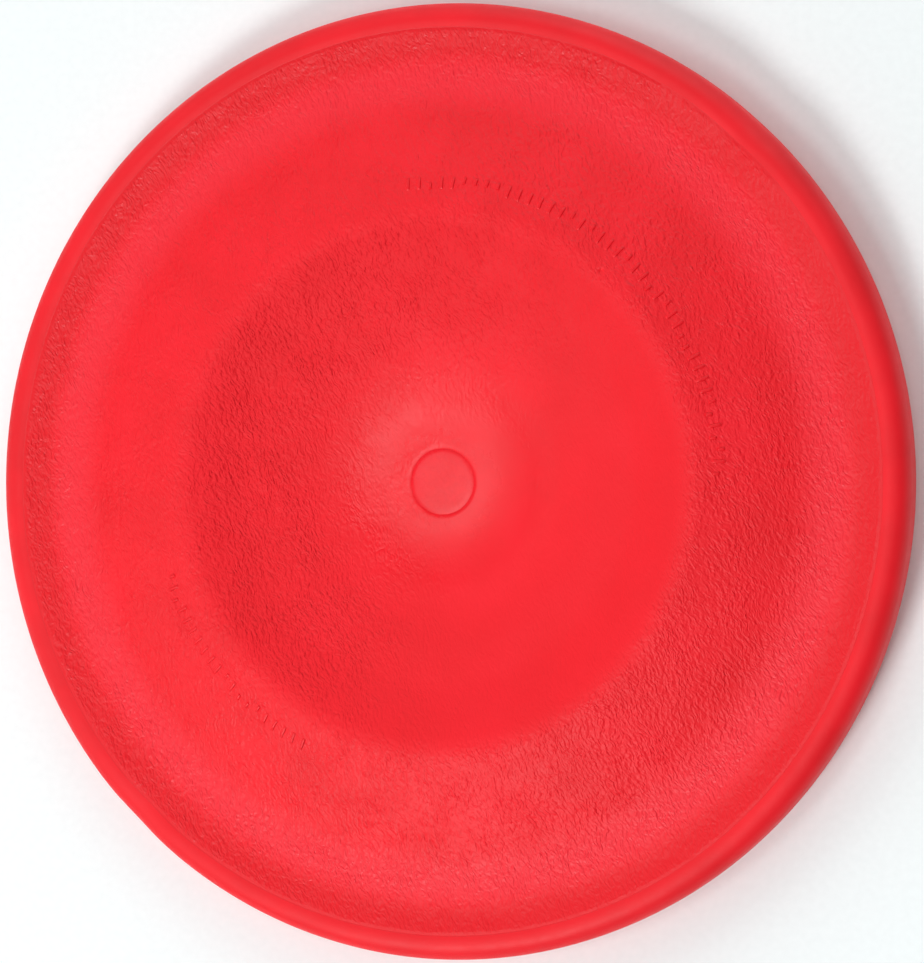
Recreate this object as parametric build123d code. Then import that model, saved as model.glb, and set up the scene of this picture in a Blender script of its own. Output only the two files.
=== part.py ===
"""Flying disc for lawn games.

A thin grained plate with a round crest and a dished middle is keyed into a smooth rim,
and a small plug closes the middle. All three are round about +Z. The origin is the
centre of the circle that the rim stands on, and sizes are in millimetres.

A corner is where two straight stretches of a section would meet before it is rounded.
"""
from build123d import *
from math import radians, tan
import os

# Rim: a smooth ring with a rounded shoulder, a bulging wall and a flat foot.
disc_diameter = 235.0  # across the widest part of the outer wall
shoulder_height = 17.4  # where the outer wall would meet the top
shoulder_round = 4.5
skirt_height = 5.6  # the outer wall's corner, below its widest part
skirt_round = 20.0
foot_inset = 2.9  # from the widest part in to the foot's outer corner
foot_width = 2.4
foot_round = 0.6
head_thickness = 2.8  # of the rim's head, where it takes the plate
head_lip = 1.3  # from the seam out to the inner wall, under the head
head_round = 1.0

# Seam between the rim and the plate.
seam_inset = 6.0  # from the widest part in to the seam
seam_height = 16.3
seam_clearance = 0.1  # gap across each seam, which shows as a fine line

# Flight plate: a crest, with a ring outside it that slopes down to a broad valley.
plate_thickness = 2.0
crest_diameter = 132.0
crest_height = 24.7  # the crest's corner
crest_round = 12.0
slope_bulge = 0.3  # how far the sloping ring's middle stands above a straight cone
slope_round = 200.0
valley_inset = 19.0  # from the widest part in to the valley's corner
valley_height = 13.9
valley_round = 40.0

# Dish inside the crest: a shallow bowl, a step round it and a shoulder below the crest.
dish_depth = 9.7  # from the crest's corner down to the plug
bowl_start_diameter = 48.0
bowl_round = 125.0
bowl_edge_diameter = 82.0
bowl_edge_rise = 3.6  # above the plug
step_diameter = 101.0
step_rise = 5.1  # above the plug
dish_shoulder_diameter = 118.0
dish_shoulder_drop = 1.8  # below the crest's corner
dish_round = 24.0

# Tongue on the plate's edge, held in a groove in the rim.
tongue_length = 2.2
tongue_thickness = 1.0
tongue_depth = 0.9  # below the seam's top edge

# Between two roundings at least this share of a stretch stays straight.
straight_share = 0.02

# Plug, and the hub that holds it.
plug_diameter = 16.2
plug_head_thickness = 1.6
plug_flange_width = 2.4  # how far the flange stands out past the head
plug_flange_thickness = 1.6
plug_edge_round = 0.3
hub_wall = 2.6  # around the flange

disc_radius = disc_diameter / 2
crest_radius = crest_diameter / 2
seam_radius = disc_radius - seam_inset
head_bottom = seam_height - head_thickness
tongue_top = seam_height - tongue_depth
tongue_bottom = tongue_top - tongue_thickness
tongue_end = seam_radius + tongue_length
plug_radius = plug_diameter / 2
plug_top = crest_height - dish_depth
ledge_height = plug_top - plug_head_thickness
hub_bottom = ledge_height - plug_flange_thickness
flange_radius = plug_radius + plug_flange_width


def turned(outline):
    """Solid made by turning a closed outline (radius across, height up) once about +Z."""
    return revolve(Plane.XZ * make_face(outline), Axis.Z)


def fitted(points, roundings):
    """Roundings, made smaller only where the stretch beside a corner is too short for them."""
    places = [Vector(*point) for point in points]
    stretches = [after - before for before, after in zip(places, places[1:] + places[:1])]
    turns = [stretches[n - 1].get_angle(stretches[n]) for n in range(len(places))]
    needs = [rounding * tan(radians(turn / 2)) for rounding, turn in zip(roundings, turns)]
    shares = []
    for n, stretch in enumerate(stretches):
        needed = needs[n] + needs[(n + 1) % len(needs)]
        shares.append(min(1, (1 - straight_share) * stretch.length / needed) if needed else 1)
    return [rounding * min(shares[n - 1], shares[n]) for n, rounding in enumerate(roundings)]


def rounded_line(corners, close=False):
    """Line through corners given as (radius, height, rounding)."""
    points = [(across, up) for across, up, rounding in corners]
    roundings = fitted(points, [rounding for across, up, rounding in corners])
    if not close:
        roundings = roundings[1:-1]
    return FilletPolyline(*points, radius=roundings, close=close)


def ring(inner, outer, bottom, top):
    """Plain ring, or a plain disc where the inner radius is 0."""
    corners = [(inner, bottom), (outer, bottom), (outer, top), (inner, top)]
    return turned(Polyline(*corners, close=True))


def plate_top():
    """Top of the plate, from the axis out to the seam."""
    valley_radius = disc_radius - valley_inset
    slope_middle_radius = (crest_radius + valley_radius) / 2
    slope_middle_height = (crest_height + valley_height) / 2 + slope_bulge
    return rounded_line(
        [
            (0, plug_top, 0),
            (bowl_start_diameter / 2, plug_top, bowl_round),
            (bowl_edge_diameter / 2, plug_top + bowl_edge_rise, dish_round),
            (step_diameter / 2, plug_top + step_rise, dish_round),
            (dish_shoulder_diameter / 2, crest_height - dish_shoulder_drop, dish_round),
            (crest_radius, crest_height, crest_round),
            (slope_middle_radius, slope_middle_height, slope_round),
            (valley_radius, valley_height, valley_round),
            (seam_radius, seam_height, 0),
        ]
    )


def make_flight_plate():
    """Plate of even thickness, with a tongue round its edge and a stepped hole for the plug."""
    shell = turned(offset(plate_top(), plate_thickness, side=Side.RIGHT))
    within_seam = ring(0, seam_radius - seam_clearance, 0, crest_height)
    tongue = ring(seam_radius - plate_thickness, tongue_end, tongue_bottom, tongue_top)
    hub = ring(0, flange_radius + hub_wall, hub_bottom, plug_top - plate_thickness / 2)
    head_hole = ring(0, plug_radius + seam_clearance, hub_bottom, plug_top)
    flange_seat = ring(0, flange_radius + seam_clearance, hub_bottom, ledge_height)
    return (shell & within_seam) + tongue + hub - head_hole - flange_seat


def make_rim():
    """Rim, with a groove on its inner side for the plate's tongue."""
    foot_outer = disc_radius - foot_inset
    foot_inner = foot_outer - foot_width
    groove_end = tongue_end + seam_clearance
    corners = [
        (seam_radius, seam_height, 0),
        (disc_radius, shoulder_height, shoulder_round),
        (disc_radius, skirt_height, skirt_round),
        (foot_outer, 0, foot_round),
        (foot_inner, 0, foot_round),
        (seam_radius + head_lip, head_bottom, head_round),
        (seam_radius, head_bottom, 0),
        (seam_radius, tongue_bottom, 0),
        (groove_end, tongue_bottom, 0),
        (groove_end, tongue_top, 0),
        (seam_radius, tongue_top, 0),
    ]
    return turned(rounded_line(corners, close=True))


def make_centre_plug():
    """Plug with a head that fills the hole and a flange that bears on the ledge inside it."""
    corners = [
        (0, hub_bottom, 0),
        (flange_radius, hub_bottom, plug_edge_round),
        (flange_radius, ledge_height, 0),
        (plug_radius, ledge_height, 0),
        (plug_radius, plug_top, plug_edge_round),
        (0, plug_top, 0),
    ]
    return turned(rounded_line(corners, close=True))


pieces = {
    "flight_plate": make_flight_plate(),
    "rim": make_rim(),
    "centre_plug": make_centre_plug(),
}

os.makedirs("parts", exist_ok=True)
for name, piece in pieces.items():
    export_step(piece, f"parts/{name}.step")
    print(name, round(piece.volume), "cubic mm")
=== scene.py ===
# %% [markdown]
# # A soft flying disc
# The object is a red throwing disc of soft polyethylene: a grained plate with a round crest and
# a dished middle, a smooth rim keyed to it, and a small plug in the centre. Nearly everything
# on it is round about the upright axis, as on a mould cut on a lathe. This lesson makes it the
# same way: each section is drawn once and carried round the axis on a numpy grid.

# %% Load the frame
import bpy
import math
import numpy as np
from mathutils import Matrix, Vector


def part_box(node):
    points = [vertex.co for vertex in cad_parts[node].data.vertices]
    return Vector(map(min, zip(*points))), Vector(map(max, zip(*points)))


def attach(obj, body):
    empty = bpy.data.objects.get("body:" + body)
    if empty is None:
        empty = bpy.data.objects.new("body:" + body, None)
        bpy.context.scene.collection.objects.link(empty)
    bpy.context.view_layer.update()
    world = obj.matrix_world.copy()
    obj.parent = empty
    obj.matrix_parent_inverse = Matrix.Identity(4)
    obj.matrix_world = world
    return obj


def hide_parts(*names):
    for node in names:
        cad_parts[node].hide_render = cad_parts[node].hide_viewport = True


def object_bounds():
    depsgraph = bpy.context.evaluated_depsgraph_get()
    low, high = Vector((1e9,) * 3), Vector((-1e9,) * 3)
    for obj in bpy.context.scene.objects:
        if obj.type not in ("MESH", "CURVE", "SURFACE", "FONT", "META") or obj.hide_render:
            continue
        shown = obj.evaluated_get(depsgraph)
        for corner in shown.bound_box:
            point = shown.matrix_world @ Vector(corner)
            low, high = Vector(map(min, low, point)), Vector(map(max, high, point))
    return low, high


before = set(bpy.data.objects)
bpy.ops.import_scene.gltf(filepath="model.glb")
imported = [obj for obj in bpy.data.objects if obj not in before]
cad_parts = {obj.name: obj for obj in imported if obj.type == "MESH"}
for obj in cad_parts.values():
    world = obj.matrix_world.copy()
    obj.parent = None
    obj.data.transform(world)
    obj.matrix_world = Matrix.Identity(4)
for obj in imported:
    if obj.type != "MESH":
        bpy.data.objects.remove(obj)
cad_low, cad_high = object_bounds()
MM = 0.001
print("CAD box in mm:", [round(side / MM, 1) for side in cad_high - cad_low])

# %% [markdown]
# ## Sizes
# The radius of the disc and the width and heights of the plug are read from the solids. The
# rest are the sizes that shape a section between those, in millimetres. They could be measured
# off the solids' meshes, but named sizes are what a mould drawing has, and they are easy to
# check. A corner is where two straight stretches of a section would meet before it is rounded.

# %% Sizes read from the solids
disc_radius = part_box("rim")[1].x / MM
plug_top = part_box("centre_plug")[1].z / MM
hub_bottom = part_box("centre_plug")[0].z / MM
flange_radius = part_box("centre_plug")[1].x / MM
print("disc radius", round(disc_radius, 2), "and plug top", round(plug_top, 2))

# %% Sizes of the plate, in millimetres
plate_thickness = 2.0
crest_radius = 66.0
crest_height = 24.7
crest_round = 12.0
slope_bulge = 0.3  # how far the slope's middle stands above a straight cone
slope_round = 200.0
valley_inset = 19.0  # from the widest part of the disc in to the valley's corner
valley_height = 13.9
valley_round = 40.0
seam_inset = 6.0  # from the widest part in to the seam between the plate and the rim
seam_height = 16.3
bowl_start_radius = 24.0
bowl_round = 125.0
bowl_edge_radius = 41.0
bowl_edge_rise = 3.6  # above the plug
step_radius = 50.5
step_rise = 5.1  # above the plug
dish_shoulder_radius = 59.0
dish_shoulder_drop = 1.8  # below the crest's corner
dish_round = 24.0

valley_radius = disc_radius - valley_inset
seam_radius = disc_radius - seam_inset
slope_middle_radius = (crest_radius + valley_radius) / 2
slope_middle_height = (crest_height + valley_height) / 2 + slope_bulge
print("seam radius", round(seam_radius, 2), "and valley radius", round(valley_radius, 2))

# %% Sizes of the rim, the tongue and the plug, in millimetres
shoulder_height = 17.4  # where the outer wall would meet the top
shoulder_round = 4.5
skirt_height = 5.6  # the outer wall's corner, below its widest part
skirt_round = 20.0
foot_inset = 2.9  # from the widest part in to the foot's outer corner
foot_width = 2.4
foot_round = 0.6
head_thickness = 2.8
head_lip = 1.3  # from the seam out to the inner wall, under the head
head_round = 1.0
head_edge_round = 0.15

tongue_length = 2.2
tongue_depth = 0.9  # below the seam's top edge
tongue_thickness = 1.0

plug_head_thickness = 1.6
plug_flange_width = 2.4  # how far the flange stands out past the head
hub_wall = 2.6  # around the flange
plug_fall_width = 0.7  # the edge of the plug's top falls away over this width
plate_fall_width = 0.4  # and the edge of the plate round it over this width
edge_fall = 0.08  # how far both have fallen where they meet

clearance = 0.1  # past the tongue's end in its groove, and round the plug's flange
hair = 0.01  # by which a face of the plate stays clear of its neighbour's

head_bottom = seam_height - head_thickness
foot_outer = disc_radius - foot_inset
tongue_end = seam_radius + tongue_length
tongue_top = seam_height - tongue_depth
tongue_bottom = tongue_top - tongue_thickness
plug_radius = flange_radius - plug_flange_width
ledge_height = plug_top - plug_head_thickness
hub_radius = flange_radius + hub_wall
print("plug radius", round(plug_radius, 2), "and tongue end", round(tongue_end, 2))

# %% [markdown]
# ## Sections
# A section is a list of corners, each with its rounding. A free curve could also draw it, but
# corners and radii are what a mould maker would use, and two arcs that touch the same line
# meet without a kink, so the shine runs over the join without a break.

# %% Rounded sections
widest_turn = math.radians(12)  # between two neighbouring stretches of an arc
shortest_gap = 0.001  # two points of a section nearer than this, in mm, become one


def arc_at(before, corner, after, rounding, step):
    """The arc that touches both sides of a corner. It starts where the first side meets the
    circle. A point of it is the centre plus the starting spoke, turned by a growing angle."""
    arriving = (corner - before) / np.linalg.norm(corner - before)
    leaving = (after - corner) / np.linalg.norm(after - corner)
    turn = math.atan2(arriving[0] * leaving[1] - arriving[1] * leaving[0], arriving @ leaving)
    start = corner - arriving * rounding * math.tan(abs(turn) / 2)
    inward = np.array([-arriving[1], arriving[0]]) * math.copysign(1, turn)
    centre = start + inward * rounding
    count = 2 + int(max(abs(turn) * rounding / step, abs(turn) / widest_turn))
    angle = np.linspace(0, turn, count)[:, None]
    spoke = start - centre
    sideways = np.array([-spoke[1], spoke[0]])
    return centre + spoke * np.cos(angle) + sideways * np.sin(angle)


def section(corners, step, closed=False):
    """Points (radius, height) along the line through corners given as (radius, height,
    rounding). Arcs take the place of the corners, and the points are at most a step apart."""
    places = [np.array(corner[:2], float) for corner in corners]
    parts = []
    for n, (corner, place) in enumerate(zip(corners, places)):
        if corner[2] == 0:
            parts.append(place[None])
        else:
            after = places[(n + 1) % len(places)]
            parts.append(arc_at(places[n - 1], place, after, corner[2], step))
    line = [parts[0]]
    for part in parts[1:] + (parts[:1] if closed else []):
        start, end = line[-1][-1], part[0]
        count = int(np.linalg.norm(end - start) / step) + 1
        share = np.linspace(0, 1, count + 1)[1:-1, None]
        line.append(start + (end - start) * share)
        line.append(part)
    points = np.concatenate(line[:-1] if closed else line)
    gap = np.linalg.norm(np.diff(points, axis=0), axis=1)
    return points[np.concatenate([[True], gap > shortest_gap])]


def even_turns(count):
    """Angles that divide a full turn into equal steps."""
    return np.linspace(0, math.tau, count + 1)[:-1]


def spin(points, angles):
    """Places and faces for a closed section carried once round the axis. A place is its
    radius times the cosine and the sine of its angle, and its height."""
    x = np.cos(angles)[:, None] * points[:, 0]
    y = np.sin(angles)[:, None] * points[:, 0]
    z = np.broadcast_to(points[:, 1], x.shape)
    places = np.stack([x, y, z], axis=-1).reshape(-1, 3)
    rows, columns = len(angles), len(points)
    row, column = np.meshgrid(np.arange(rows), np.arange(columns), indexing="ij")
    next_row, next_column = (row + 1) % rows, (column + 1) % columns
    corners = [(row, column), (row, next_column), (next_row, next_column), (next_row, column)]
    faces = np.stack([r * columns + c for r, c in corners], axis=-1)
    return places, faces.reshape(-1, 4)


print("a quarter circle of 10 mm takes", len(arc_at(
    np.array([0.0, 0.0]), np.array([20.0, 0.0]), np.array([20.0, 20.0]), 10.0, 1.0)), "points")

# %% [markdown]
# ## A disc that has been thrown
# A soft disc is never quite true: it warps a little as it cools in the mould, and it keeps a
# faint kink wherever it was once bent sharply. Each piece could be bent by itself, but here one
# function says how far each place is off its true shape, and every piece goes through it, so
# the pieces still meet. It only ever moves a place down or in, so the disc stays inside its
# sizes, and the foot stays flat.

# %% Unevenness
warps = ((2, -1.8, 0.16), (5, 1.0, 0.07))  # crests round the disc, phase, amplitude in mm
kinks = ((48.0, 4.2, 0.85), (226.0, 3.6, 0.6))  # place and width in degrees, depth in mm
kink_drop = 0.8  # share of a kink's depth that goes down
kink_dent = 0.6  # share of it that goes in
kink_start = 0.80  # share of the radius where a kink begins
kink_rise = 0.17  # share of the radius over which it reaches its depth
lobes = 3
lobe_dent = 0.05
sharp_edge = math.radians(35)


def bump_at(angle, degrees, width):
    """One at an angle round the disc, falling to nothing on both sides as a bell curve whose
    width is in degrees."""
    away = np.angle(np.exp(1j * (angle - math.radians(degrees))))
    return np.exp(-((away / math.radians(width)) ** 2))


def uneven(places):
    """The places, in mm, moved as a used disc's are. They sink by a wave with two crests and a
    smaller one with five, which both grow with the square of the radius, and by two kinks in
    the rim. They move in by the kinks and by three slight lobes. All of it grows with the
    square of the height, up to the seam's height, so it is nothing at the foot."""
    x, y, z = places.T
    share = np.hypot(x, y) / disc_radius
    angle = np.arctan2(y, x)
    lifted = np.clip(z / seam_height, 0, 1) ** 2
    wave = sum(size * (np.cos(crests * angle + phase) - 1) for crests, phase, size in warps)
    kink = sum(depth * bump_at(angle, at, width) for at, width, depth in kinks)
    near_rim = np.clip((share - kink_start) / kink_rise, 0, 1) ** 2
    drop = (wave * share**2 - kink_drop * kink * near_rim) * lifted
    lobe = lobe_dent * (1 + np.cos(lobes * angle))
    inward = (kink_dent * kink * near_rim + lobe) * lifted * share
    scale = 1 - inward / np.maximum(np.hypot(x, y), 1)
    return np.stack([x * scale, y * scale, z + drop], axis=-1)


def add_piece(name, places, faces, node=None):
    """Puts places in mm and their faces into a mesh in metres that rides on the disc, smooth
    but for its sharp edges. It stands for a solid, if one is named."""
    mesh = bpy.data.meshes.new(name)
    mesh.from_pydata(uneven(places) * MM, [], faces)
    mesh.shade_smooth()
    mesh.set_sharp_from_angle(angle=sharp_edge)
    piece = bpy.data.objects.new(name, mesh)
    bpy.context.scene.collection.objects.link(piece)
    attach(piece, "root")
    if node:
        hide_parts(node)
    print(name, "has", len(mesh.polygons), "faces")
    return piece


print("the kinks are at", [at for at, width, depth in kinks], "degrees")

# %% [markdown]
# ## The flight plate
# The plate is one thin moulding of even thickness. Its top line is drawn once, and its
# underside is the same line moved in by the thickness along its own normals, as the two halves
# of a mould are. Round the outside runs the tongue that the rim holds, and in the middle is
# the stepped hole for the plug. A small pit on the crest is the mark of a vent in the mould.
# The whole mesh could be as fine as the pit needs, but it is enough to place the rings and the
# spokes closer together where they pass it.

# %% The plate's outline
vent_angle = math.radians(49.4)
vent_radius = 66.9
vent_depth = 0.5
vent_width = 0.55
vent_offsets = np.linspace(-1.4, 1.4, 15)  # in mm, where finer rings and spokes pass the vent
vent_ring_gap = 1.7  # even rings nearer to the vent than this make way for them
vent_spoke_gap = 1.8
top_rings = 132
under_step = 1.5  # between two rings of the underside
ring_margin = 0.2  # between an edge and the ring beside it
under_drop = 0.05  # how far the underside's edge lies below the plain thickness


def finer_near(even, centre, offsets, gap):
    """The even values in order, with those nearer to the centre than the gap replaced by the
    centre plus each offset."""
    return np.sort(np.concatenate([even[np.abs(even - centre) > gap], centre + offsets]))


def on_line(radii, line):
    """Points at these radii on a line, with the height between its points in proportion."""
    return np.stack([radii, np.interp(radii, line[:, 0], line[:, 1])], axis=-1)


plate_top = section(
    [
        (0, plug_top, 0),
        (bowl_start_radius, plug_top, bowl_round),
        (bowl_edge_radius, plug_top + bowl_edge_rise, dish_round),
        (step_radius, plug_top + step_rise, dish_round),
        (dish_shoulder_radius, crest_height - dish_shoulder_drop, dish_round),
        (crest_radius, crest_height, crest_round),
        (slope_middle_radius, slope_middle_height, slope_round),
        (valley_radius, valley_height, valley_round),
        (seam_radius, seam_height, 0),
    ],
    step=0.25,
)
along = np.gradient(plate_top, axis=0)
along /= np.linalg.norm(along, axis=1)[:, None]
plate_under = plate_top + plate_thickness * np.stack([along[:, 1], -along[:, 0]], axis=-1)

edge_radius = seam_radius - hair
hole_radius = plug_radius + hair
even_radii = np.linspace(hole_radius + plate_fall_width, edge_radius - ring_margin, top_rings)
top_radii = finer_near(even_radii, vent_radius, vent_offsets, vent_ring_gap)
under_radii = np.arange(hub_radius + ring_margin, edge_radius - 2 * ring_margin, under_step)[::-1]
outer_edge = [
    (edge_radius, seam_height - hair),
    (edge_radius, tongue_top),
    (tongue_end, tongue_top),
    (tongue_end, tongue_bottom),
    (edge_radius, tongue_bottom),
    (edge_radius, seam_height - plate_thickness - under_drop),
]
inner_edge = [
    (hub_radius, plug_top - plate_thickness),
    (hub_radius, hub_bottom),
    (flange_radius + clearance, hub_bottom),
    (flange_radius + clearance, ledge_height),
    (hole_radius, ledge_height),
    (hole_radius, plug_top - edge_fall),
]
plate_outline = np.concatenate([
    on_line(top_radii, plate_top), outer_edge, on_line(under_radii, plate_under), inner_edge])
print("the plate's outline has", len(plate_outline), "points")

# %% The plate's surface
plate_spokes = 300
top_skin = 0.5  # a place less than this below the top line, in mm, belongs to the top

plate_angles = finer_near(
    even_turns(plate_spokes), vent_angle, vent_offsets / vent_radius, vent_spoke_gap / vent_radius)
plate_places, plate_faces = spin(plate_outline, plate_angles)
plate_radius = np.hypot(plate_places[:, 0], plate_places[:, 1])
top_height = np.interp(plate_radius, plate_top[:, 0], plate_top[:, 1])
is_top = plate_places[:, 2] > top_height - top_skin
vent_place = vent_radius * np.array([math.cos(vent_angle), math.sin(vent_angle)])
from_vent = np.hypot(*(plate_places[:, :2] - vent_place).T)
plate_places[:, 2] -= vent_depth * np.exp(-((from_vent / vent_width) ** 2)) * is_top
plate = add_piece(
    "moulded_plate", plate_places, plate_faces.tolist(), "flight_plate")

# %% [markdown]
# ### What differs from place to place
# The skin of the plate is not the same all over. An image painted over the disc could say how
# it differs, but it differs by radius and by side, so a few formulas are enough, and they give
# four numbers per vertex that the material can read:
# - "grain" is the depth of the leather grain. It is full on the outer slope, deepest on the
#   dish's wall where no hand has rubbed it, and shallow in the bowl. On the worn side there is
#   less of it in the dish and by the seam. It fades out just inside the seam, and there is
#   hardly any underneath.
# - "deep" is the share of a darker red. It lies on the slope from the valley out to the seam,
#   and on the dish's wall, where it is painted shade for the creases of the heavy grain.
# - "bloom" is the share of a paler red in the valley: painted sheen.
# - "matt" is the roughness: the dish's wall is the most matt, and the bowl is the smoothest.

# %% Numbers for the plate's skin
def smooth_step(value, low, high):
    """0 up to low and 1 from high on; between them the share squared times three, less
    twice its cube."""
    share = np.clip((value - low) / (high - low), 0, 1)
    return share * share * (3 - 2 * share)


def rise(low, high):
    """0 inside one radius and 1 outside another, in mm, with a smooth step between them."""
    return smooth_step(plate_radius, low, high)


def side(degrees, low):
    """1 on the side of the disc that lies in this direction and 0 on the far side: a smooth
    step of the cosine of the angle away from it, from low up."""
    return smooth_step(np.cos(plate_turn - math.radians(degrees)), low, side_full)


def store(piece, name, values):
    """Keeps one number per vertex under a name."""
    attribute = piece.data.attributes.new(name, "FLOAT", "POINT")
    attribute.data.foreach_set("value", values.astype(np.float32))


side_full = 0.7  # the cosine at which a place is wholly on a side
bowl_grain = 0.12
wall_gain = 1.08  # how much deeper the grain gets from the bowl up the wall
crest_loss = 0.2
fresh_gain = 0.35  # on the wall that no hand has rubbed
fresh_valley_gain = 0.3  # the share of that in the valley
worn_in_dish = 0.75  # share of the depth that wear has taken
worn_at_seam = 0.6
plain_grain = 0.1
# the share of painted shade on the dish's wall
wall_shade_share = 0.35
matt_radii = (0, 12, 24, 32, 62, 67, 90, 100, 111)
matt_values = (0.27, 0.27, 0.33, 0.60, 0.68, 0.50, 0.50, 0.42, 0.38)

plate_turn = np.arctan2(plate_places[:, 1], plate_places[:, 0])
worn_side = side(-25, -0.4)
fresh_side = side(180, -0.1)
bowl_wall = rise(30, 40) - rise(60, 66)
# the valley, where a paler red is painted sheen
valley_sheen_band = rise(88, 98) - rise(100, 106)

left_by_wear = 1 - worn_in_dish * worn_side * (1 - rise(62, 68))
left_by_wear -= worn_at_seam * worn_side * rise(99, 106)
moulded_grain = bowl_grain + wall_gain * rise(14, 44)
moulded_grain -= crest_loss * rise(60, 68)
moulded_grain += fresh_gain * fresh_side * (bowl_wall + fresh_valley_gain * rise(90, 100))
inside_seam = 1 - rise(110.3, 111.3)
grain = np.where(is_top, moulded_grain * left_by_wear * inside_seam, plain_grain)

store(plate, "grain", grain)
# a darker red from the valley out to the seam, and painted shade on the dish's wall
store(plate, "darker_red_and_shade", rise(101, 107) + wall_shade_share * bowl_wall)
# a paler red in the valley: painted sheen
store(plate, "painted_valley_sheen", valley_sheen_band)
store(plate, "matt", np.interp(plate_radius, matt_radii, matt_values))
print("mean grain depth on top", round(float(grain[is_top].mean()), 2))

# %% [markdown]
# ## The rim
# The rim is a heavier ring with a rounded shoulder, a bulging outer wall and a flat foot.
# A fingertip hooks behind its inner face. A tube swept along a circle could make it too, but
# its section is closed, so carrying it round the axis is all that it takes, and the groove for
# the plate's tongue comes with it.

# %% The rim's surface
rim_spokes = 480

rim_outline = section(
    [
        (seam_radius, seam_height, 0),
        (disc_radius, shoulder_height, shoulder_round),
        (disc_radius, skirt_height, skirt_round),
        (foot_outer, 0, foot_round),
        (foot_outer - foot_width, 0, foot_round),
        (seam_radius + head_lip, head_bottom, head_round),
        (seam_radius, head_bottom, head_edge_round),
        (seam_radius, tongue_bottom, 0),
        (tongue_end + clearance, tongue_bottom, 0),
        (tongue_end + clearance, tongue_top, 0),
        (seam_radius, tongue_top, 0),
    ],
    step=0.5,
    closed=True,
)
rim_places, rim_faces = spin(rim_outline, even_turns(rim_spokes))
rim = add_piece("moulded_rim", rim_places, rim_faces.tolist(), "rim")

# %% [markdown]
# ## The plug
# A round plug closes the middle. Its top is flush with the dish. Its edge and the plate's fall
# away by less than a tenth of a millimetre where they meet, and the shallow groove between them
# draws the fine ring that is seen there. A line in the colour could draw it, but a groove also
# catches the light. The section starts and ends on the axis, so each end is a single vertex
# with a fan of triangles, and no pole is left open.

# %% The plug's surface
plug_spokes = 144
plug_fall_round = 2.0
plug_foot_round = 0.3

plug_outline = section(
    [
        (0, plug_top, 0),
        (plug_radius - plug_fall_width, plug_top, plug_fall_round),
        (plug_radius, plug_top - edge_fall, 0),
        (plug_radius, ledge_height, 0),
        (flange_radius, ledge_height, 0),
        (flange_radius, hub_bottom, plug_foot_round),
        (0, hub_bottom, 0),
    ],
    step=0.6,
)
plug_places, plug_faces = spin(plug_outline[1:-1], even_turns(plug_spokes))
# The section is open between its ends, so the faces that would close it there are dropped.
plug_faces = plug_faces[plug_faces[:, 1] > plug_faces[:, 0]]
spoke_size = len(plug_outline) - 2
first = np.arange(plug_spokes) * spoke_size
after = np.roll(first, -1)
last = spoke_size - 1
poles = np.array([[0, 0, plug_top], [0, 0, hub_bottom]])
top_pole, bottom_pole = len(plug_places), len(plug_places) + 1
top_fan = np.stack([np.full_like(first, top_pole), first, after], axis=-1)
bottom_fan = np.stack([np.full_like(first, bottom_pole), after + last, first + last], axis=-1)
plug = add_piece(
    "moulded_plug",
    np.concatenate([plug_places, poles]),
    plug_faces.tolist() + top_fan.tolist() + bottom_fan.tolist(),
    "centre_plug",
)

# %% [markdown]
# ## Raised marks
# Two rows of short ribs stand on the slope outside the crest, cut into the mould by hand.
# They give the thumb something to feel. Bump could show them, but they are high enough to
# stand out of the surface. Each rib is a small cushion: a grid over its length and width whose
# height is a rounded hump, closed by a second grid that lies under the skin.

# %% The ribs' surface
rib_radius = 72.9
rib_length = 3.4
rib_width = 0.95
rib_height = 0.34
rib_pitch = 2.9
rib_sink = 0.1  # how far the edge of the hump lies under the skin
rib_root = 0.25  # how far the second grid lies under it
rib_rows = ((1.5, 95.0), (199.0, 243.0))  # where each row starts and ends, in degrees
short_rib = 0.55  # share of a full rib's length, which about a third of them have
most_lean = 0.12
grid_shape = (9, 7)
grid_size = grid_shape[0] * grid_shape[1]
random = np.random.default_rng(7)


def rib_grid(turn, length, shift, lean):
    """Places of one rib, in mm. Two parameters run from -1 to 1 over its length and its
    width, and the hump is the product of one less the sixth power of the first and one less
    the fourth power of the second, on top of the plate's own height at that place."""
    steps = [np.linspace(-1, 1, count) for count in grid_shape]
    u, v = np.meshgrid(*steps, indexing="ij")
    radius = rib_radius + shift + u * length / 2
    angle = turn + (v * rib_width / 2 + lean * u) / rib_radius
    ground = np.interp(radius, plate_top[:, 0], plate_top[:, 1])
    hump = (1 - u**6) * (1 - v**4)
    x, y = radius * np.cos(angle), radius * np.sin(angle)
    upper = np.stack([x, y, ground - rib_sink + (rib_height + rib_sink) * hump], axis=-1)
    lower = np.stack([x, y, ground - rib_root], axis=-1)
    return np.concatenate([upper.reshape(-1, 3), lower.reshape(-1, 3)])


def rib_faces():
    """Faces of one rib: the upper grid, the lower grid turned over, and a wall between."""
    index = np.arange(grid_size).reshape(grid_shape)
    square = np.stack([index[:-1, :-1], index[1:, :-1], index[1:, 1:], index[:-1, 1:]], axis=-1)
    upper = square.reshape(-1, 4)
    border = np.concatenate([index[:, 0], index[-1, 1:], index[-2::-1, -1], index[0, -2:0:-1]])
    ahead = np.roll(border, -1)
    wall = np.stack([ahead, border, border + grid_size, ahead + grid_size], axis=-1)
    return np.concatenate([upper, upper[:, ::-1] + grid_size, wall])


turns = np.concatenate([
    np.arange(math.radians(low), math.radians(high), rib_pitch / rib_radius)
    for low, high in rib_rows])
lengths = rib_length * random.choice([1.0, 1.0, short_rib], len(turns))
shifts = (rib_length - lengths) / 2 * random.choice([-1, 1], len(turns))
leans = random.uniform(-most_lean, most_lean, len(turns))
ribs_places = np.concatenate([rib_grid(*rib) for rib in zip(turns, lengths, shifts, leans)])
one_rib = rib_faces()
ribs_faces = np.concatenate([one_rib + 2 * grid_size * n for n in range(len(turns))])
ribs = add_piece("raised_marks", ribs_places, ribs_faces.tolist())
print(len(turns), "ribs")

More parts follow.
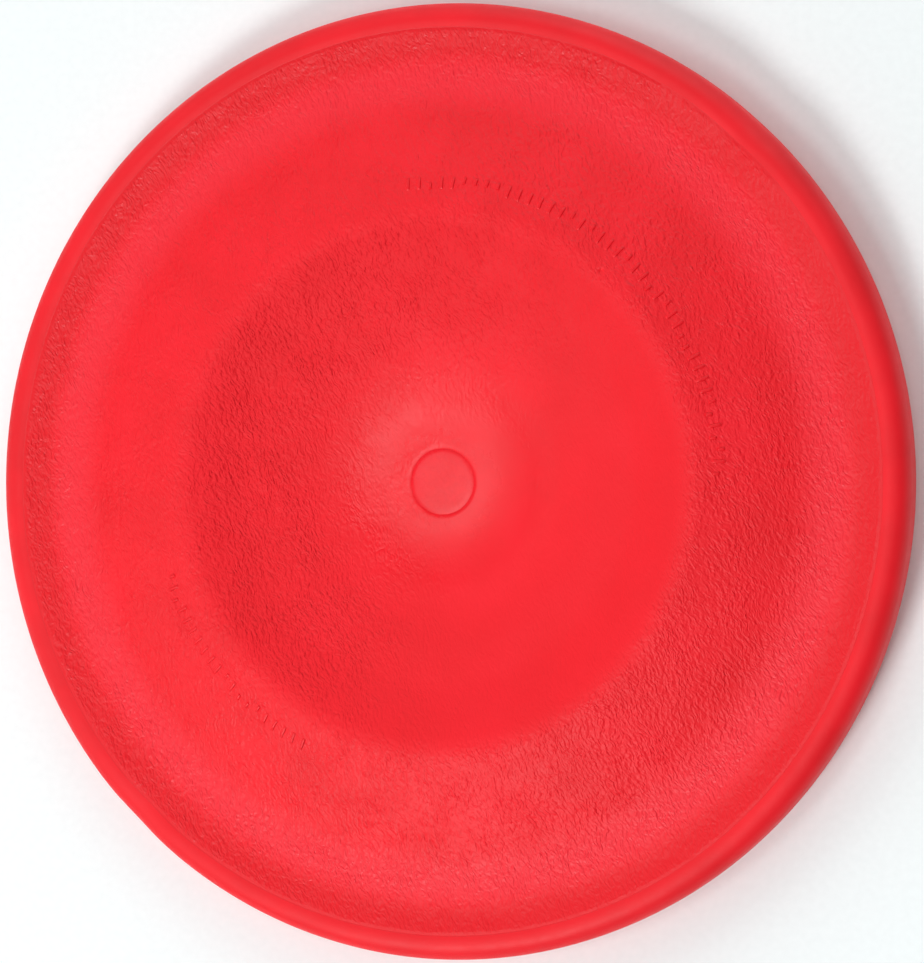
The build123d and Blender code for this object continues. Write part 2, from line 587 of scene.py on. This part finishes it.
# %% [markdown]
# ## Materials
# The whole disc is low-density polyethylene, a soft waxy plastic, coloured red in the mass.
# One function turns hex colours into linear ones, and one adds a node with its settings and
# links. A few short ones on top of it stand for what is used often, so each material below
# reads as a list of what was done to the surface.

# %% Helpers for the materials
def linear(code):
    """The linear colour of a hex code: a channel is its share plus 0.055, over 1.055, to the
    power 2.4, or the share over 12.92 where it is dark."""
    share = np.array([int(code[n : n + 2], 16) / 255 for n in (0, 2, 4)])
    bright = ((share + 0.055) / 1.055) ** 2.4
    return [*np.where(share <= 0.04045, share / 12.92, bright).tolist(), 1.0]


def add(tree, kind, inputs, **settings):
    """Adds a node, gives it its settings, and fills its inputs, each named or numbered, with
    a value, with a link from an output, or with a link from a node's first output."""
    node = tree.nodes.new(kind)
    for name, value in settings.items():
        setattr(node, name, value)
    for name, value in inputs.items():
        if isinstance(value, bpy.types.Node):
            value = value.outputs[0]
        if isinstance(value, bpy.types.NodeSocket):
            tree.links.new(value, node.inputs[name])
        else:
            node.inputs[name].default_value = value
    return node


def new_material(name, piece):
    """An empty material in the only slot of a piece. Gives its node tree and a place on the
    piece, which the textures are laid out by."""
    material = bpy.data.materials.new(name)
    material.use_nodes = True
    tree = material.node_tree
    tree.nodes.clear()
    piece.data.materials.clear()
    piece.data.materials.append(material)
    return tree, add(tree, "ShaderNodeTexCoord", {}).outputs["Object"]


def noise(tree, place, size, detail, roughness=0.5):
    """Noise whose patches are about this size, in mm."""
    return add(tree, "ShaderNodeTexNoise", {
        "Vector": place, "Scale": 1 / (size * MM), "Detail": detail, "Roughness": roughness})


def calculate(tree, operation, *values):
    """One sum on numbers or links."""
    return add(tree, "ShaderNodeMath", dict(enumerate(values)), operation=operation)


def carry(tree, value, old, new, **settings):
    """A value carried from its old range to a new one, and kept within that."""
    return add(tree, "ShaderNodeMapRange", {
        "Value": value, "From Min": old[0], "From Max": old[1],
        "To Min": new[0], "To Max": new[1]}, **settings)


def read(tree, name):
    """The number that a mesh holds per vertex under a name."""
    return add(tree, "ShaderNodeAttribute", {}, attribute_name=name).outputs["Fac"]


def ramp(tree, factor, stops):
    """A colour ramp through (position, colour) stops."""
    node = add(tree, "ShaderNodeValToRGB", {"Fac": factor})
    node.color_ramp.elements[0].position = stops[0][0]
    node.color_ramp.elements[0].color = stops[0][1]
    node.color_ramp.elements[1].position = stops[-1][0]
    node.color_ramp.elements[1].color = stops[-1][1]
    for position, colour in stops[1:-1]:
        node.color_ramp.elements.new(position).color = colour
    return node.outputs["Color"]


red = linear("ED081C")
deep_red = linear("E60618")
pale_red = linear("F10C21")
# a darker red: a random tone on the smooth mouldings, and painted shade on the dish's wall
deeper_tone_and_shade_red = linear("E20618")
# the paler red of the painted sheen in the valley
painted_sheen_red = linear("EF1E2E")
ldpe_ior = 1.51
shine = 0.35  # specular level; a clean face has 0.5


def finish_plastic(tree, colour, roughness, bump):
    """Ends a material as solid polyethylene with this colour, roughness and bump."""
    skin = add(tree, "ShaderNodeBsdfPrincipled", {
        "Base Color": colour, "Roughness": roughness, "IOR": ldpe_ior,
        "Specular IOR Level": shine, "Normal": bump})
    add(tree, "ShaderNodeOutputMaterial", {"Surface": skin})


print("mass colour", [round(c, 3) for c in red[:3]])

# %% [markdown]
# ### Leather grain
# The plate was moulded against a steel face etched with a leather grain. Its creases are about
# 0.8 mm apart and about twice as long, and they all run roughly one way, in wavy rows. Most of
# the relief is a soft noise stretched that way. A small part is the distance to the edge of
# cells stretched the same way, which gives the flat fields and narrow valleys of etched steel.
# The place is bent by coarser noise first, so no crease is straight, and a fine noise adds the
# pores of the wax. Modelled creases would take millions of faces, so the grain is bump.

# %% Leather-grained plate
grain_length = 1.55
grain_spacing = 0.80
grain_direction = math.radians(-67)
grain_depth = 0.24
bends = ((14.0, 5.0), (2.4, 1.3))  # size of a bend and how far it moves a place, in mm
field_edge = 0.36  # distance from a cell's edge at which its field is flat
field_weight = 0.24
crease_weight = 2.1
pore_weight = 0.05

tree, place = new_material("leather_grained_moulded_ldpe", plate)
bent = place
for bend_size, bend_amount in bends:
    bend = noise(tree, place, bend_size, detail=1.5, roughness=0.55)
    centred = add(tree, "ShaderNodeVectorMath", {
        0: bend.outputs["Color"], 1: (0.5, 0.5, 0.5)}, operation="SUBTRACT")
    bent = add(tree, "ShaderNodeVectorMath", {
        0: centred, 1: (bend_amount * MM,) * 3, 2: bent}, operation="MULTIPLY_ADD")
stretched = add(tree, "ShaderNodeMapping", {
    "Vector": bent,
    "Rotation": (0, 0, grain_direction),
    "Scale": (grain_length * MM, grain_spacing * MM, grain_length * MM),
}, vector_type="TEXTURE")

cells = add(tree, "ShaderNodeTexVoronoi", {
    "Vector": stretched, "Scale": 1.0, "Randomness": 1.0}, feature="DISTANCE_TO_EDGE")
fields = carry(
    tree, cells.outputs["Distance"], old=(0.0, field_edge), new=(0.0, 1.0),
    interpolation_type="SMOOTHSTEP")
creases = add(tree, "ShaderNodeTexNoise", {
    "Vector": stretched, "Scale": 0.95, "Detail": 1.6, "Roughness": 0.5})
pores = noise(tree, place, size=0.5, detail=1.0)
relief = calculate(tree, "MULTIPLY", fields, field_weight)
relief = calculate(tree, "MULTIPLY_ADD", creases, crease_weight, relief)
relief = calculate(tree, "MULTIPLY_ADD", pores, pore_weight, relief)

patches = noise(tree, place, size=8, detail=4.0, roughness=0.6)
patches = carry(tree, patches, old=(0.35, 0.65), new=(0.60, 1.10))
depth = calculate(tree, "MULTIPLY", read(tree, "grain"), patches)
height = calculate(tree, "MULTIPLY", relief, depth)
grain_bump = add(tree, "ShaderNodeBump", {
    "Height": height, "Distance": grain_depth * MM, "Strength": 1.0})

tint = noise(tree, place, size=22, detail=4.0, roughness=0.55)
colour = ramp(tree, tint, [(0.30, deep_red), (0.52, red), (0.72, pale_red)])
# the darker red paints shade on the dish's wall, and the paler red paints sheen in the valley
for layer, shade in (("darker_red_and_shade", deeper_tone_and_shade_red), ("painted_valley_sheen", painted_sheen_red)):
    # Of a colour mix, input 0 is the share, 6 and 7 are the colours, and output 2 the result.
    mixed = add(tree, "ShaderNodeMix", {
        0: read(tree, layer), 6: colour, 7: shade}, data_type="RGBA")
    colour = mixed.outputs[2]
scuffs = noise(tree, place, size=9, detail=5.0, roughness=0.65)
scuffs = carry(tree, scuffs, old=(0.35, 0.70), new=(-0.02, 0.03))
roughness = calculate(tree, "ADD", read(tree, "matt"), scuffs)
finish_plastic(tree, colour, roughness, grain_bump)
print("grain creases", grain_spacing, "mm apart")

# %% [markdown]
# ### Smooth mouldings
# The rim, the plug and the ribs were moulded against plain steel, stoned but not polished.
# Such a face copies as a soft satin with faint long ripples from the flow of the plastic.
# Fine scuffs from grass and gravel make it a little more matt in patches, and the red is a
# little deeper in patches, because the colour is never quite evenly mixed in. The three differ
# only in amounts, so one function makes them all.

# %% Smooth rim, plug and ribs
speck_weight = 0.10
scuff_matt = 0.06  # how much rougher the worst scuffs are


def smooth_moulding(name, piece, colour, roughness, ripple_depth, ripple_length):
    """A smooth moulding of this colour, deeper in places, with flow ripples of this depth and
    length in mm, fine specks, and scuffs."""
    tree, place = new_material(name, piece)
    ripples = noise(tree, place, ripple_length, detail=2.0, roughness=0.4)
    specks = noise(tree, place, size=0.7, detail=2.0)
    relief = calculate(tree, "MULTIPLY_ADD", specks, speck_weight, ripples)
    bump = add(tree, "ShaderNodeBump", {"Height": relief, "Distance": ripple_depth * MM})
    tint = noise(tree, place, size=18, detail=4.0)
    mass = ramp(tree, tint, [(0.35, deeper_tone_and_shade_red), (0.65, colour)])
    scuffs = noise(tree, place, size=4, detail=6.0, roughness=0.7)
    matt = carry(tree, scuffs, old=(0.40, 0.65), new=(roughness, roughness + scuff_matt))
    finish_plastic(tree, mass, matt, bump)
    print(name, "on", piece.name)


smooth_moulding(
    "satin_moulded_ldpe_rim", rim, red, roughness=0.50, ripple_depth=0.20, ripple_length=9.0)
smooth_moulding(
    "satin_moulded_ldpe_plug", plug, pale_red, roughness=0.25, ripple_depth=0.04,
    ripple_length=6.0)
smooth_moulding(
    "satin_moulded_ldpe_marks", ribs, red, roughness=0.42, ripple_depth=0.05, ripple_length=4.0)

# %% [markdown]
# ## Floor, light and camera
# The disc lies on a large sheet of pale studio paper. Six square soft boxes and a pale room
# light it, so the dish and the slope are told by soft shading. The near and the far box are the
# strong ones: they stand on opposite sides and brighten the slopes that face them. The left box
# and the corner box do the same for the left, more weakly. The sheen box, nearly overhead, lays
# the pale sheen on the bowl, and the fill box, high on the right, keeps that side from going
# dark. One small lamp would be simpler, but its shadows would be hard. The camera has a long
# lens, looks down from the right and is aimed at the middle of the disc.

# %% Floor
floor_side = 6.0

edges = [-floor_side / 2, floor_side / 2]
floor_x, floor_y = np.meshgrid(edges, edges, indexing="ij")
floor_places = np.stack([floor_x, floor_y, np.full_like(floor_x, cad_low.z)], axis=-1)
floor_mesh = bpy.data.meshes.new("floor")
floor_mesh.from_pydata(floor_places.reshape(-1, 3), [], [(0, 2, 3, 1)])
floor = bpy.data.objects.new("floor", floor_mesh)
bpy.context.scene.collection.objects.link(floor)
tree, place = new_material("pale_studio_paper", floor)
fibres = noise(tree, place, size=2, detail=4.0)
paper = ramp(tree, fibres, [(0.3, linear("EDF2F2")), (0.7, linear("F0F5F5"))])
sheet = add(tree, "ShaderNodeBsdfPrincipled", {"Base Color": paper, "Roughness": 0.9})
add(tree, "ShaderNodeOutputMaterial", {"Surface": sheet})
print("floor at", round(cad_low.z / MM, 2), "mm")

# %% Light
box_distance = 1.8
soft_boxes = (  # name, direction from the disc, side in metres, power in watts
    ("sheen_box", (-0.24, -0.11, 0.96), 0.46, 4.4),
    ("near_box", (-0.22, -0.64, 0.74), 0.50, 16.6),
    ("left_box", (-0.84, -0.26, 0.45), 1.0, 5.0),
    ("corner_box", (-0.60, 0.45, 0.55), 1.0, 3.6),
    ("far_box", (0.12, 0.85, 0.42), 1.6, 14.2),
    ("fill_box", (0.35, -0.08, 0.93), 0.60, 2.5),
)


def soft_box(name, direction, width, power):
    """A square light of this width that stands in a direction and faces the disc."""
    data = bpy.data.lights.new(name, "AREA")
    data.shape = "SQUARE"
    data.size = width
    data.energy = power
    lamp = bpy.data.objects.new(name, data)
    bpy.context.scene.collection.objects.link(lamp)
    from_disc = np.array(direction) / np.linalg.norm(direction)
    lamp.location = (from_disc * box_distance).tolist()
    turn = math.atan2(from_disc[1], from_disc[0])
    tilt = math.acos(from_disc[2])
    lamp.rotation_euler = (0, tilt, turn)
    print(name, "at", [round(float(x), 2) for x in lamp.location])


for box in soft_boxes:
    soft_box(*box)
world = bpy.data.worlds.new("pale_room")
bpy.context.scene.world = world
world.use_nodes = True
background = world.node_tree.nodes["Background"]
background.inputs["Color"].default_value = linear("F6FCFD")
background.inputs["Strength"].default_value = 0.27
bpy.context.scene.view_settings.view_transform = "Standard"

# %% Camera
view_tilt = math.radians(18.85)
view_distance = 1.29
view_height = 0.2387  # what the sensor's longer side takes in at that distance, in metres

lens_data = bpy.data.cameras.new("camera")
lens_data.sensor_width = 36
lens_data.lens = lens_data.sensor_width * view_distance / view_height
camera = bpy.data.objects.new("camera", lens_data)
bpy.context.scene.collection.objects.link(camera)
camera.location = (
    view_distance * math.sin(view_tilt), 0, view_distance * math.cos(view_tilt))
camera.rotation_euler = (0, view_tilt, 0)
bpy.context.scene.camera = camera
print("lens", round(lens_data.lens), "mm")

# %% [markdown]
# ## The last update
# The view layer is brought up to date once every piece is in place. Looks must not change
# the size of the part.

# %% Update
bpy.context.view_layer.update()
